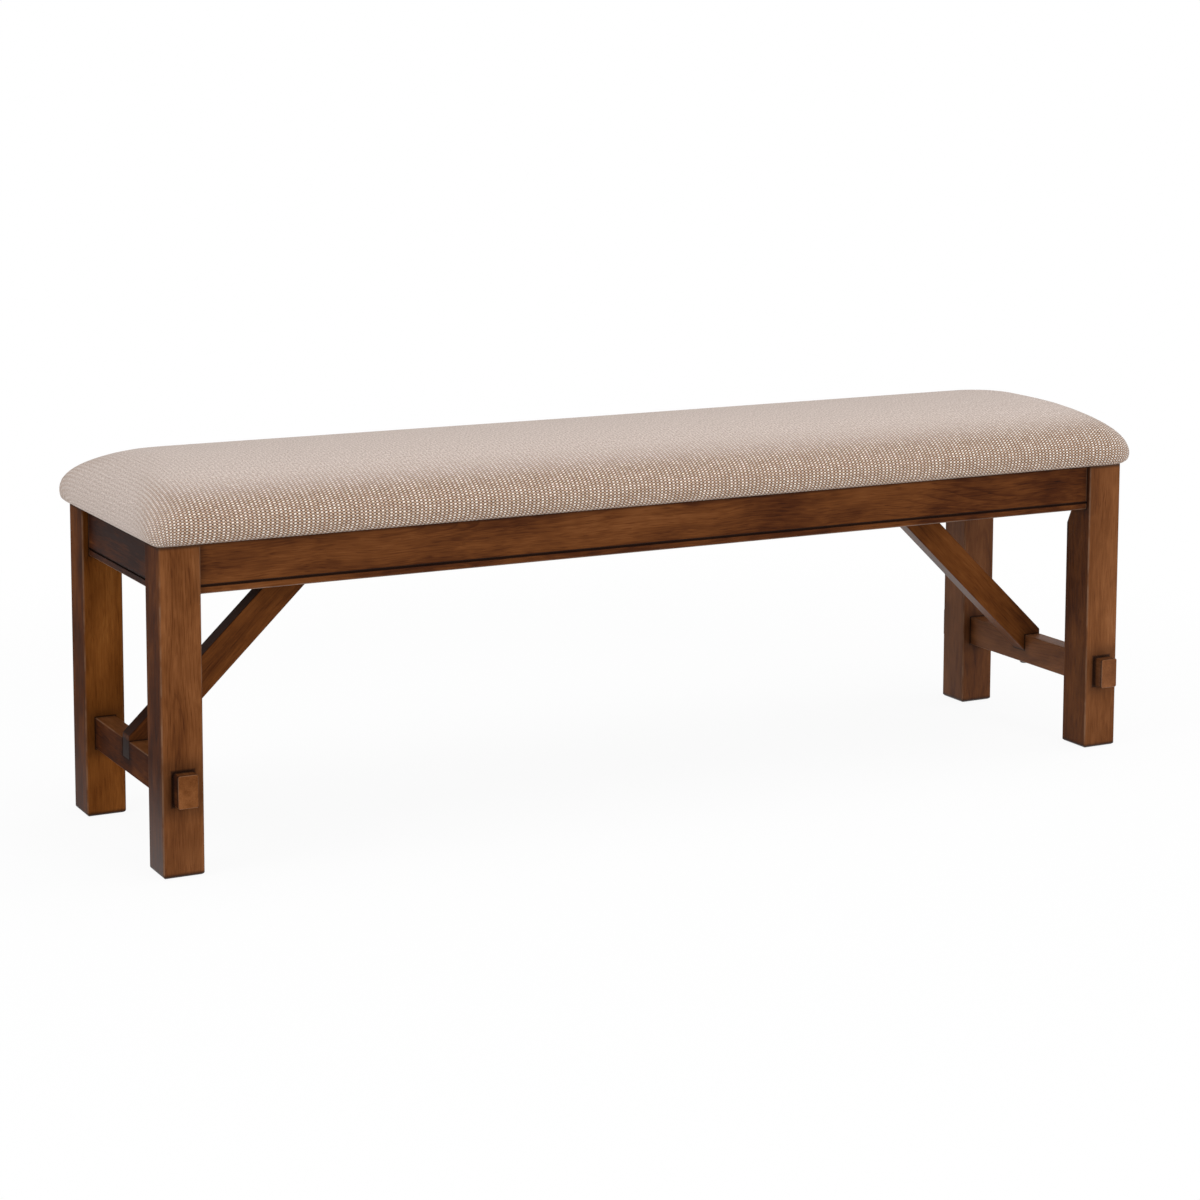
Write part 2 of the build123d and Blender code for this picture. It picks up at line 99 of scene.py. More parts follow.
def seen_directly(tree):
    """One for what the camera, a gloss or a clear thing shows of the studio, and zero for its light."""
    path = put(tree, "ShaderNodeLightPath")
    shown = calc(tree, "MAXIMUM", path.outputs["Is Camera Ray"], path.outputs["Is Glossy Ray"])
    return calc(tree, "MAXIMUM", shown, path.outputs["Is Transmission Ray"])


def new_material(name):
    """An empty material, and its node tree."""
    material = bpy.data.materials.new(name)
    material.use_nodes = True
    material.node_tree.nodes.clear()
    return material, material.node_tree


def own_place(tree):
    """The place in the object's own coordinates, in metres."""
    return put(tree, "ShaderNodeTexCoord").outputs["Object"]


world = bpy.data.worlds.new("studio")
bpy.context.scene.world = world
world.use_nodes = True
tree = world.node_tree
tree.nodes.clear()
room_light = put(tree, "ShaderNodeBackground", {"Color": (0.97, 0.985, 1.0, 1.0), "Strength": 0.42})
room_white = put(tree, "ShaderNodeBackground", {"Color": (1.0, 1.0, 1.0, 1.0), "Strength": 1.0})
room = put(tree, "ShaderNodeMixShader", {
    0: seen_directly(tree), 1: room_light.outputs[0], 2: room_white.outputs[0]})
put(tree, "ShaderNodeOutputWorld", {"Surface": room.outputs[0]})

# From 0.9 to 1.9 m away from the bench's middle, the floor turns to the surroundings' pure white.
shadow_reach, white_from = 0.9, 1.9
disc = bmesh.new()
bmesh.ops.create_circle(disc, cap_ends=True, segments=96, radius=16.0)
floor = add_object("floor", bpy.data.meshes.new("floor"))
disc.to_mesh(floor.data)
disc.free()
paint, tree = new_material("floor_paint")
matt = put(tree, "ShaderNodeBsdfDiffuse", {"Color": (0.86, 0.86, 0.86, 1.0)})
white = put(tree, "ShaderNodeEmission", {"Color": (1.0, 1.0, 1.0, 1.0), "Strength": 1.0})
away = put(tree, "ShaderNodeVectorMath", {0: own_place(tree)}, operation="LENGTH").outputs["Value"]
share = calc(tree, "MULTIPLY", seen_directly(tree), spread(tree, away, shadow_reach, white_from, 0.93, 1.0))
lit = put(tree, "ShaderNodeMixShader", {0: share, 1: matt.outputs[0], 2: white.outputs[0]})
put(tree, "ShaderNodeOutputMaterial", {"Surface": lit.outputs[0]})
floor.data.materials.append(paint)

# Each soft box: its place, the point it aims at, its width and height in metres, and its power in watts.
soft_boxes = {
    "front_light": ((0.9, -4.4, 1.25), (0.0, 0.0, 0.25), 3.0, 1.7, 92.0),
    "top_light": ((0.2, -0.4, 3.4), (0.0, 0.0, 0.3), 3.6, 2.4, 57.0),
    "right_light": ((4.4, -0.6, 1.9), (0.3, 0.0, 0.3), 2.2, 2.0, 30.0),
    "left_light": ((-4.0, -0.8, 1.6), (-0.5, 0.0, 0.3), 2.0, 2.0, 58.0),
}
for name, (place, aim, width, height, power) in soft_boxes.items():
    lamp = bpy.data.lights.new(name, "AREA")
    lamp.shape = "RECTANGLE"
    lamp.size, lamp.size_y, lamp.energy = width, height, power
    light = add_object(name, lamp)
    light.location = place
    light.rotation_euler = (Vector(aim) - Vector(place)).to_track_quat("-Z", "Y").to_euler()


# Posts. Four square legs of solid wood, machined with eased arrises and rounded feet, then stained a dark
# walnut brown and lacquered satin. The stain is blotchy, darker at joints and rubbed thin on the arrises.
# Shade is painted on too: on the sides, round the joints, at the feet and under the pad, with a painted
# highlight on the arrises.
def vector_calc(tree, operation, *values):
    return put(tree, "ShaderNodeVectorMath", dict(enumerate(values)), operation=operation).outputs[0]


def component(tree, vector, axis):
    return put(tree, "ShaderNodeSeparateXYZ", {0: vector}).outputs[axis]


def mixed(tree, factor, first, second, how="MIX"):
    sockets = {0: factor, 6: first, 7: second}
    return put(tree, "ShaderNodeMix", sockets, data_type="RGBA", blend_type=how).outputs[2]


def cloudy(tree, place, scale, detail, roughness=0.5):
    """A noise node, whose first output lies about one half."""
    sockets = {"Vector": place, "Scale": scale, "Detail": detail, "Roughness": roughness}
    return put(tree, "ShaderNodeTexNoise", sockets)


def wavered(tree, place, scale, detail, reach):
    """The place shifted to and fro by noise."""
    cloud = cloudy(tree, place, scale, detail).outputs["Color"]
    shift = vector_calc(tree, "SUBTRACT", cloud, (0.5, 0.5, 0.5))
    return vector_calc(tree, "MULTIPLY_ADD", shift, reach, place)


def band(tree, value, rising, full, falling, gone):
    """One between two bounds and zero outside them, eased on both sides."""
    return calc(tree, "MULTIPLY", spread(tree, value, rising, full),
                spread(tree, value, falling, gone, 1.0, 0.0))


def new_group(name, inputs, outputs):
    """An empty shader group: its tree, and its input and output nodes."""
    tree = bpy.data.node_groups.new(name, "ShaderNodeTree")
    for in_out, sockets in (("INPUT", inputs), ("OUTPUT", outputs)):
        for socket, kind in sockets.items():
            tree.interface.new_socket(name=socket, in_out=in_out, socket_type="NodeSocket" + kind)
    return tree, put(tree, "NodeGroupInput"), put(tree, "NodeGroupOutput")


def finished_group(tree, gives, **results):
    """The group's tree, with its results linked."""
    for name, value in results.items():
        tree.links.new(value, gives.inputs[name])
    return tree


def ramp(tree, factor, *stops):
    """Colours along a factor; the stops are (position, colour)."""
    made = put(tree, "ShaderNodeValToRGB", {"Fac": factor})
    elements = made.color_ramp.elements
    while len(elements) < len(stops):
        elements.new(0.5)
    for element, (position, colour) in zip(elements, stops):
        element.position = position
        element.color = (*colour, 1.0)
    return made.outputs["Color"]


def make_grain_group():
    """Stained wood with its grain along Z, in metres: figure, streaks, pores, small knots and blotches."""
    tree, given, gives = new_group(
        "stained_grain",
        {"Vector": "Vector", "Tone": "Float", "Warmth": "Float", "Rubbed_and_highlight": "Float", "Joint_and_shade": "Float"},
        {"Color": "Color", "Roughness": "Float", "Height": "Float"})
    place = wavered(tree, given.outputs["Vector"], 6.0, 1.0, (0.016, 0.016, 0.016))

    def drawn_out(length, scale, detail, roughness=0.5):
        """Noise drawn out along the grain, about zero."""
        along = vector_calc(tree, "MULTIPLY", place, (1.0, 1.0, length))
        return calc(tree, "SUBTRACT", cloudy(tree, along, scale, detail, roughness).outputs[0], 0.5)

    streak = drawn_out(0.035, 120.0, 3.0, 0.6)
    smudge = drawn_out(0.4, 46.0, 2.0, 0.6)
    pore = drawn_out(0.04, 800.0, 1.0)
    fleck = spread(tree, drawn_out(0.08, 620.0, 0.0), 0.15, 0.24)
    blotch = drawn_out(0.3, 13.0, 2.0)
    # Growth rings show here and there as thin dark lines, and a few small knots lie between them.
    rings = calc(tree, "FRACT", calc(tree, "MULTIPLY", drawn_out(0.07, 15.0, 1.0, 0.3), 26.0))
    rings = calc(tree, "MULTIPLY", calc(tree, "POWER", rings, 5.0), spread(tree, rings, 0.9, 1.0, 1.0, 0.0))
    figured = spread(tree, drawn_out(0.3, 11.0, 1.0), -0.02, 0.16, 0.08, 1.0)
    rings = calc(tree, "MULTIPLY", rings, figured)
    frayed = wavered(tree, place, 60.0, 3.0, (0.012, 0.012, 0.03))
    frayed = vector_calc(tree, "MULTIPLY", frayed, (1.0, 1.0, 0.45))
    knot = put(tree, "ShaderNodeTexVoronoi", {"Vector": frayed, "Scale": 9.0, "Randomness": 1.0})
    chosen = spread(tree, component(tree, knot.outputs["Color"], 0), 0.38, 0.48)
    knot = calc(tree, "MULTIPLY", spread(tree, knot.outputs["Distance"], 0.02, 0.15, 1.0, 0.0), chosen)
    tone = given.outputs["Tone"]
    marks = ((streak, 0.32), (smudge, 0.42), (pore, 0.34), (blotch, 0.92), (rings, -0.19), (fleck, -0.08))
    for mark, strength in marks:
        tone = calc(tree, "MULTIPLY_ADD", mark, strength, tone)
    stain = ramp(
        tree, tone, (0.0, (0.018, 0.0065, 0.0045)), (0.25, (0.056, 0.0165, 0.0058)),
        (0.5, (0.122, 0.0405, 0.0118)), (0.75, (0.192, 0.0705, 0.0235)), (1.0, (0.270, 0.1120, 0.0440)))
    gold = mixed(tree, 1.0, stain, (1.0, 0.88, 0.5, 1.0), "MULTIPLY")
    stain = mixed(tree, given.outputs["Warmth"], stain, gold)
    stain = mixed(tree, calc(tree, "MULTIPLY", knot, 0.7), stain, (0.020, 0.008, 0.004, 1.0))
    # The arrises turn lighter: wear and a painted highlight.
    rubbed_and_highlight = calc(tree, "MULTIPLY", given.outputs["Rubbed_and_highlight"], 0.5)
    stain = mixed(tree, rubbed_and_highlight, stain, (0.245, 0.140, 0.085, 1.0))
    # This mask darkens the dark joints and also paints shade.
    joint_and_shade = calc(tree, "MULTIPLY", given.outputs["Joint_and_shade"], 0.9)
    stain = mixed(tree, joint_and_shade, stain, (0.010, 0.005, 0.004, 1.0))
    rough = calc(tree, "MULTIPLY_ADD", streak, 0.16, 0.46)
    rough = calc(tree, "MULTIPLY_ADD", given.outputs["Rubbed_and_highlight"], -0.06, rough)
    height = calc(tree, "MULTIPLY_ADD", pore, 0.6, calc(tree, "MULTIPLY", streak, 0.7))
    height = calc(tree, "MULTIPLY_ADD", fleck, -0.4, height)
    return finished_group(tree, gives, Color=stain, Roughness=rough, Height=height)


def new_box_group(name):
    """A group that makes a mask from a box, and how far out of the box a place lies along each axis."""
    tree, given, gives = new_group(
        name, {"Vector": "Vector", "Middle": "Vector", "Half": "Vector", "Width": "Float"}, {"Mask": "Float"})
    away = vector_calc(tree, "SUBTRACT", given.outputs["Vector"], given.outputs["Middle"])
    away = vector_calc(tree, "SUBTRACT", vector_calc(tree, "ABSOLUTE", away), given.outputs["Half"])
    return tree, given, gives, put(tree, "ShaderNodeSeparateXYZ", {0: away})


def make_edge_group():
    """One on the arrises of a squared bar, fading over the width and broken up, as hands rub them; the
    lighter colour it gives is wear and a painted highlight.
    """
    tree, given, gives, part = new_box_group("arris_wear_and_highlight")
    higher = calc(tree, "MAXIMUM", part.outputs[0], part.outputs[1])
    lower = calc(tree, "MINIMUM", part.outputs[0], part.outputs[1])
    second = calc(tree, "MAXIMUM", lower, calc(tree, "MINIMUM", higher, part.outputs[2]))
    inside = calc(tree, "MULTIPLY", given.outputs["Width"], -1.0)
    mask = spread(tree, second, inside, calc(tree, "MULTIPLY", inside, 0.28))
    patchy = cloudy(tree, given.outputs["Vector"], 30.0, 4.0).outputs[0]
    mask = calc(tree, "MULTIPLY", mask, spread(tree, patchy, 0.34, 0.62, 0.25, 1.0))
    return finished_group(tree, gives, Mask=mask)


def make_joint_group():
    """A thin dark line where a squared piece meets the wood, with a fainter cloud of painted shade round it.
    """
    tree, given, gives, part = new_box_group("joint_line")
    outside = calc(tree, "MAXIMUM", calc(tree, "MAXIMUM", part.outputs[0], part.outputs[1]), part.outputs[2])
    line = spread(tree, calc(tree, "ABSOLUTE", outside), 0.0, given.outputs["Width"], 1.0, 0.0)
    # The cloud round the line is painted shade.
    shade_around = spread(tree, outside, 0.0, calc(tree, "MULTIPLY", given.outputs["Width"], 5.0), 0.38, 0.0)
    return finished_group(tree, gives, Mask=calc(tree, "MAXIMUM", line, shade_around))


grain_group = make_grain_group()
edge_group = make_edge_group()
joint_group = make_joint_group()
grain_turns = {"x": (0.0, radians(-90.0), 0.0), "y": (radians(90.0), 0.0, 0.0), "z": (0.0, 0.0, 0.0)}


def group_node(tree, group, sockets):
    return put(tree, "ShaderNodeGroup", sockets, node_tree=group)


def boxed(tree, group, place, box, width):
    """The mask that a box group gives for a box of two corners."""
    low, high = box
    middle, half = (low + high) / 2, (high - low) / 2
    sockets = {"Vector": place, "Middle": middle, "Half": half, "Width": width}
    return group_node(tree, group, sockets).outputs["Mask"]


def surface(tree, colour, roughness, relief, strength, depth, more=None):
    """A material's shader over a bump of the relief, with more sockets where the finish asks for them."""
    bump = put(tree, "ShaderNodeBump", {"Height": relief, "Strength": strength, "Distance": depth})
    sockets = {"Base Color": colour, "Roughness": roughness, "Normal": bump.outputs[0]}
    shader = put(tree, "ShaderNodeBsdfPrincipled", {**sockets, **(more or {})})
    put(tree, "ShaderNodeOutputMaterial", {"Surface": shader.outputs[0]})


def stained_wood(name, turned, offset, tones, warmth=0.0, edges=None, rub_and_highlight_width=0.0028, joints=(), dirt_and_shade=None,
                 gloss=0.015, polish=0.28):
    """Stained and lacquered wood for one piece. It is turned and offset in the grain, so that no two pieces
    are cut from the same place. Its tones are those of its front and back and of its two sides, which differ
    to paint the shade and light each face takes. Its edges are the bar whose arrises are rubbed, with a
    painted highlight, over the given width, and its joints the boxes that meet it, with their lines' widths.
    Its dirt and shade make a mask from the place and from how far the surface faces up, of stain, dirt and
    painted shade, and its polish is the lacquer near the floor."""
    material, tree = new_material(name)
    place = own_place(tree)
    mapped = put(tree, "ShaderNodeMapping", {"Vector": place, "Rotation": turned, "Location": offset})
    facing = put(tree, "ShaderNodeSeparateXYZ", {0: put(tree, "ShaderNodeNewGeometry").outputs["Normal"]})
    sideways = calc(tree, "ABSOLUTE", facing.outputs[0])
    # The sides take their own tone: painted shade and light by which way each face turns.
    tone = calc(tree, "MULTIPLY_ADD", sideways, tones[1] - tones[0], tones[0])
    grain = {"Vector": mapped.outputs[0], "Tone": tone, "Warmth": warmth}
    if edges is not None:
        grain["Rubbed_and_highlight"] = boxed(tree, edge_group, place, edges, rub_and_highlight_width)
    dark = dirt_and_shade(tree, place, facing.outputs[2]) if dirt_and_shade else None
    for box, width in joints:
        line = boxed(tree, joint_group, place, box, width)
        dark = line if dark is None else calc(tree, "MAXIMUM", dark, line)
    if dark is not None:
        grain["Joint_and_shade"] = dark
    wood = group_node(tree, grain_group, grain)
    low_down = calc(tree, "MULTIPLY", spread(tree, component(tree, place, 2), 0.0, 0.16, polish, 0.0),
                    calc(tree, "MULTIPLY_ADD", sideways, 0.8, 0.2))
    lacquer = calc(tree, "MAXIMUM", spread(tree, facing.outputs[2], -0.35, -0.6, 0.0, 0.45), low_down)
    surface(tree, wood.outputs["Color"], wood.outputs["Roughness"], wood.outputs["Height"], 0.35, 0.0004,
            {"Specular IOR Level": gloss, "Coat Weight": lacquer, "Coat Roughness": 0.3})
    return material


# Painted shade at the foot fades out between these two heights.
foot_shade_full, foot_shade_gone = 0.003, 0.0095
# A painted shadow under the pad fills in between these two heights.
pad_shadow_gone, pad_shadow_full = 0.4205, 0.4250


def pad_shadow(tree, height):
    """A painted shadow in the last millimetres below the pad."""
    return spread(tree, height, pad_shadow_gone, pad_shadow_full, 0.0, 0.75)


def foot_and_head_shade(tree, place, facing_up):
    """Painted shade round the foot of a post, and a painted shadow at its head under the pad."""
    height = component(tree, place, 2)
    dirt_and_shade = spread(tree, height, foot_shade_full, foot_shade_gone, 0.95, 0.0)
    return calc(tree, "MAXIMUM", dirt_and_shade, pad_shadow(tree, height))


def finish_node(name, material):
    """Gives a CAD node its finish."""
    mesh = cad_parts[name].data
    mesh.materials.clear()
    mesh.materials.append(material)


# Each post: the tone of its front and back, that of its sides, its warmth, its gloss, and its polish. The two
# tones differ to paint the shade and light on the sides.
post_looks = {"front_left": (0.67, 0.33, 0.0, 0.007, 0.36), "front_right": (0.60, 0.31, 0.0, 0.04, 0.03),
              "back_left": (0.66, 0.28, 1.0, 0.007, 0.15), "back_right": (0.52, 0.58, 0.0, 0.10, 0.06)}
corners = list(post_looks)
# The stretcher's tenon starts this far from the bench's middle. The lines are the widths of the dark joints,
# and painted shade spreads five times as far round them.
tenon_from = 0.182
tenon_line, apron_line, stretcher_lines = 0.0055, 0.0024, {"front": 0.0018, "back": 0.0035}
for number, corner in enumerate(corners):
    depth, side = corner.split("_")
    front, sides, warmth, gloss, polish = post_looks[corner]
    low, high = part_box("stretcher_" + side)
    if depth == "front":
        tenon = (low, Vector((high.x, -tenon_from, high.z)))
    else:
        tenon = (Vector((low.x, tenon_from, low.z)), high)
    entering = [(tenon, tenon_line), ((low, high), stretcher_lines[depth]),
                (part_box("apron_" + side), apron_line), (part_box("apron_" + depth), apron_line)]
    cut_from = (0.31 + 0.77 * number, 0.13 * number, 0.4 + 0.61 * number)
    finish_node("leg_" + corner, stained_wood(
        "post_" + corner, grain_turns["z"], cut_from, (front, sides), warmth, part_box("leg_" + corner),
        joints=entering, dirt_and_shade=foot_and_head_shade, gloss=gloss, polish=polish))


# Aprons. Rails between the posts under the seat, each run through a moulder that cuts a groove above a
# rounded bead at the lower edge. They are dowelled into the posts, and the groove holds dark stain.
groove_heights = (0.3690, 0.3702, 0.3728, 0.3744)


def groove_stain_and_pad_shadow(tree, place, facing_up):
    """Stain held in the groove above the bead, and a painted shadow along the top edge under the pad."""
    height = component(tree, place, 2)
    return calc(tree, "MAXIMUM", band(tree, height, *groove_heights), pad_shadow(tree, height))


# Each apron: its tone and its warmth. The end aprons' darker tones are painted shade.
apron_tones = {"front": (0.38, 0.15), "back": (0.42, 0.05), "left": (0.03, 0.0), "right": (0.2, 0.0)}
for number, (side, (tone, warmth)) in enumerate(apron_tones.items()):
    lengthwise = "x" if side in ("front", "back") else "y"
    cut_from = (0.2 + 0.53 * number, 0.9 * number, 0.37 * number)
    meeting = [(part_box("leg_" + corner), 0.0026) for corner in corners if side in corner.split("_")]
    finish_node("apron_" + side, stained_wood(
        "apron_wood_" + side, grain_turns[lengthwise], cut_from, (tone, tone), warmth,
        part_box("apron_" + side), joints=meeting, dirt_and_shade=groove_stain_and_pad_shadow))


# End stretchers. A bar between front and back post at each end, with through tenons that stand proud of
# the posts' faces, their corners rounded over by hand before the frame was stained.
def tenon_shade(tree, place, facing_up):
    """Painted shade on the sides of a tenon, where it leaves the post's face and along its end."""
    depth = calc(tree, "ABSOLUTE", component(tree, place, 1))
    post_face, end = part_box("leg_back_left")[1].y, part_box("stretcher_left")[1].y
    sides = band(tree, depth, post_face - 0.002, post_face, end - 0.0016, end - 0.0004)
    outline = calc(tree, "MAXIMUM", spread(tree, depth, post_face + 0.003, post_face + 0.009, 1.0, 0.4),
                   spread(tree, depth, end - 0.0055, end - 0.0020, 0.0, 0.9))
    return calc(tree, "MULTIPLY", sides, outline)


# Each stretcher: the tone of its ends, that of its sides, its gloss, and its polish. The two tones differ to
# paint the shade and light on the sides.
stretcher_looks = {"left": (0.67, 0.20, 0.004, 0.02), "right": (0.66, 0.62, 0.08, 0.28)}
joint_line = 0.003
for number, (side, (ends, sides, gloss, polish)) in enumerate(stretcher_looks.items()):
    cut_from = (0.7 + 0.41 * number, 0.25, 0.55 * number)
    meeting = [(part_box("leg_" + corner), joint_line) for corner in corners if side in corner.split("_")]
    meeting.append((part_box("brace_" + side), joint_line))
    finish_node("stretcher_" + side, stained_wood(
        "stretcher_wood_" + side, grain_turns["y"], cut_from, (ends, sides), 0.05,
        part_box("stretcher_" + side), 0.0018, meeting, tenon_shade, gloss, polish))


# Braces. A slanted bar in the middle of the bench at each end, let into the stretcher's top edge at its
# foot and screwed to a cross rail at its head. They are cut from the same stained stock.
def upper_face_shade(tree, place, facing_up):
    """Painted shade on the upper face of a brace, which faces up under the seat."""
    return spread(tree, facing_up, 0.4, 0.65, 0.0, 0.85)


brace_slope = 43.8
for number, (side, sign) in enumerate((("left", -1.0), ("right", 1.0))):
    along_brace = (0.0, radians(90.0 - brace_slope) * sign, 0.0)
    cut_from = (0.15 + 0.8 * number, 0.35, 0.9 * number)
    # The braces' sides take a lower tone: painted shade.
    finish_node("brace_" + side, stained_wood(
        "brace_wood_" + side, along_brace, cut_from, (0.435, 0.3), 0.5,
        joints=[(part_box("stretcher_" + side), joint_line)], dirt_and_shade=upper_face_shade))


# Cross rails, corner blocks and dowels. They are out of sight under the seat, sawn and planed from pale
# softwood and left bare. The rails and aprons are dowelled, and the blocks are bolted and screwed.
def make_plain_group():
    """Pale bare wood with its grain along Z, in metres."""
    tree, given, gives = new_group("bare_grain", {"Vector": "Vector"},
                                   {"Color": "Color", "Roughness": "Float", "Height": "Float"})
    along = vector_calc(tree, "MULTIPLY", given.outputs["Vector"], (1.0, 1.0, 0.06))
    streak = cloudy(tree, along, 120.0, 4.0, 0.6).outputs[0]
    ring = put(tree, "ShaderNodeTexWave", {"Vector": along, "Scale": 34.0, "Distortion": 5.0, "Detail": 2.0},
               wave_type="BANDS", bands_direction="DIAGONAL", wave_profile="SAW")
    tone = calc(tree, "MULTIPLY_ADD", ring.outputs["Fac"], 0.45, calc(tree, "MULTIPLY", streak, 0.6))
    colour = ramp(
        tree, tone, (0.2, (0.40, 0.25, 0.125)), (0.55, (0.56, 0.385, 0.215)), (0.9, (0.66, 0.49, 0.30)))
    rough = calc(tree, "MULTIPLY_ADD", streak, 0.2, 0.55)
    return finished_group(tree, gives, Color=colour, Roughness=rough, Height=tone)


plain_group = make_plain_group()


def plain_wood(name, turned, offset):
    """Bare wood for one piece."""
    material, tree = new_material(name)
    place = own_place(tree)
    mapped = put(tree, "ShaderNodeMapping", {"Vector": place, "Rotation": turned, "Location": offset})
    wood = group_node(tree, plain_group, {"Vector": mapped.outputs[0]})
    surface(tree, wood.outputs["Color"], wood.outputs["Roughness"], wood.outputs["Height"], 0.4, 0.0004)
    return material


for number, side in enumerate(("left", "right")):
    cut_from = (0.3 * number, 0.1, 0.7)
    finish_node("cross_rail_" + side, plain_wood("rail_wood_" + side, grain_turns["y"], cut_from))
for number, corner in enumerate(corners):
    slanted = radians(45.0 if corner in ("front_left", "back_right") else -45.0)
    cut_from = (0.21 * number, 0.4, 0.1)
    finish_node("corner_block_" + corner, plain_wood(
        "block_wood_" + corner, (radians(90.0), 0.0, slanted), cut_from))
dowel_wood = plain_wood("dowel_wood", grain_turns["x"], (0.5, 0.2, 0.9))
finish_node("apron_dowels", dowel_wood)
finish_node("rail_dowels", dowel_wood)


# Screws, bolts, nuts and washers. Bright zinc-plated steel, a little dull and blotched as plating is, and
# black oxide on the two screws that show under the stretchers.
def plated_steel(name, colour, roughness):
    """Clouded and finely scratched plating, which is duller in places."""
    material, tree = new_material(name)
    cloud = cloudy(tree, own_place(tree), 210.0, 3.0).outputs[0]
    scratch = cloudy(tree, own_place(tree), 1500.0, 2.0).outputs[0]
    dull = tuple(0.7 * part for part in colour)
    shade = mixed(tree, spread(tree, cloud, 0.35, 0.7), (*colour, 1.0), (*dull, 1.0))
    rough = calc(tree, "MULTIPLY_ADD", cloud, 0.2, roughness)
    surface(tree, shade, rough, scratch, 0.2, 0.0001, {"Metallic": 1.0})
    return material


zinc = plated_steel("zinc_plate", (0.62, 0.63, 0.64), 0.22)
for name in ("block_screws", "hanger_bolts", "bolt_washers", "bolt_nuts", "rail_screws", "seat_screws"):
    finish_node(name, zinc)
finish_node("brace_foot_screws", plated_steel("black_oxide", (0.10, 0.095, 0.09), 0.3))


# Glides. Round tacks driven into the posts' feet, so that the bench slides without marking a floor. They are
# moulded in dark grey nylon and scuffed paler where they rub.
nylon, tree = new_material("glide_nylon")
scuff = cloudy(tree, own_place(tree), 260.0, 4.0, 0.7).outputs[0]
tint = mixed(tree, spread(tree, scuff, 0.4, 0.65), (0.10, 0.09, 0.085, 1.0), (0.16, 0.15, 0.14, 1.0))
surface(tree, tint, calc(tree, "MULTIPLY_ADD", scuff, 0.3, 0.35), scuff, 0.3, 0.0002)
finish_node("glides", nylon)


# Seat board. Plywood that the pad is built up on, screwed from below through blocks and cross rails. Its
# edges show the plies as light and dark lines, and its faces a rotary-cut veneer.
# One light and one dark ply together are 4.8 mm thick.
board_bottom, ply_pair = 0.4276, 0.0048
plywood, tree = new_material("seat_plywood")
place = own_place(tree)
turned = put(tree, "ShaderNodeMapping", {"Vector": place, "Rotation": grain_turns["x"]})
veneer = group_node(tree, plain_group, {"Vector": turned.outputs[0]})
level = calc(tree, "SUBTRACT", component(tree, place, 2), board_bottom)
ply = calc(tree, "FRACT", calc(tree, "DIVIDE", level, ply_pair))
facing = component(tree, put(tree, "ShaderNodeNewGeometry").outputs["Normal"], 2)
on_edge = spread(tree, calc(tree, "ABSOLUTE", facing), 0.3, 0.6, 1.0, 0.0)
plies = calc(tree, "MULTIPLY", on_edge, spread(tree, ply, 0.45, 0.55, 0.0, 0.65))
colour = mixed(tree, plies, veneer.outputs["Color"], (0.20, 0.11, 0.055, 1.0))
surface(tree, colour, veneer.outputs["Roughness"], veneer.outputs["Height"], 0.3, 0.0003)
finish_node("seat_board", plywood)


# Pad. Foam over the seat board under one woven cover, pulled down over all four sides and turned under the
# board. It starts as the foam's form, is swollen as cloth under pressure, and is then given its hem.
post_top, pad_rise = 0.426, 0.088
half_long, half_deep = 0.762, 0.205
# The pad is widest a little over the posts, is drawn in to its hem below, and rolls up to its crown above.
widest, hem_draw, end_roll, crown_half = 0.023, 0.016, 0.102, 0.018
side_roll = half_deep - crown_half
# The foam's room for the board is larger than the board by less than this.
board_room = 0.0006
# The lower edge is held while the rest swells, and no point may swell further than the most.
voxel, pressure, swelling_frames = 0.0068, 4.0, 20
held_to, held_band = 0.446, 0.010
most_swelling, evening_turns = 0.0028, 30


def loose_copy(name, source):
    """A new object with a merged copy of a CAD node's mesh."""
    bm = bmesh.new()
    bm.from_mesh(source.data)
    bmesh.ops.remove_doubles(bm, verts=bm.verts, dist=1e-6)
    mesh = bpy.data.meshes.new(name)
    bm.to_mesh(mesh)
    bm.free()
    return add_object(name, mesh)


def take_result(piece):
    """Puts what the piece's modifiers make into its own mesh, and leaves none of them on it."""
    bpy.context.view_layer.update()
    made = bpy.data.meshes.new_from_object(piece.evaluated_get(bpy.context.evaluated_depsgraph_get()))
    piece.modifiers.clear()
    piece.data = made


def values_of(parts, key, width, kind=float):
    """The values of a mesh's vertices, edges or loops, a row for each."""
    values = np.zeros(len(parts) * width, kind)
    parts.foreach_get(key, values)
    return values.reshape(-1, width)


def close_up(bm, rim, mesh):
    """Fills the holes inside the rim, turns the faces outwards, and puts the result into the mesh."""
    bmesh.ops.holes_fill(bm, edges=rim, sides=0)
    bmesh.ops.triangulate(bm, faces=[face for face in bm.faces if len(face.verts) > 4])
    bmesh.ops.recalc_face_normals(bm, faces=bm.faces)
    bm.to_mesh(mesh)
    bm.free()


pad = loose_copy("seat_pad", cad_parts["seat_foam"])
board_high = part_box("seat_board")[1]
bm = bmesh.new()
bm.from_mesh(pad.data)
# That room is filled up, so that the pad swells as one body.
room = [face for face in bm.faces if all(
    abs(vert.co.x) < board_high.x + board_room and abs(vert.co.y) < board_high.y + board_room
    for vert in face.verts) and face.calc_center_median().z < board_high.z + board_room]
bmesh.ops.delete(bm, geom=room, context="FACES")
close_up(bm, [edge for edge in bm.edges if edge.is_boundary], pad.data)
remesh = pad.modifiers.new("even", "REMESH")
remesh.mode = "VOXEL"
remesh.voxel_size = voxel
take_result(pad)
before = values_of(pad.data.vertices, "co", 3)
held = pad.vertex_groups.new(name="held")
for index, height in enumerate(before[:, 2]):
    held.add([index], float(np.clip((held_to - height) / held_band, 0.0, 1.0)), "REPLACE")
swell = pad.modifiers.new("swell", "CLOTH")
swell.settings.quality = 4
swell.settings.use_pressure = True
swell.settings.uniform_pressure_force = pressure
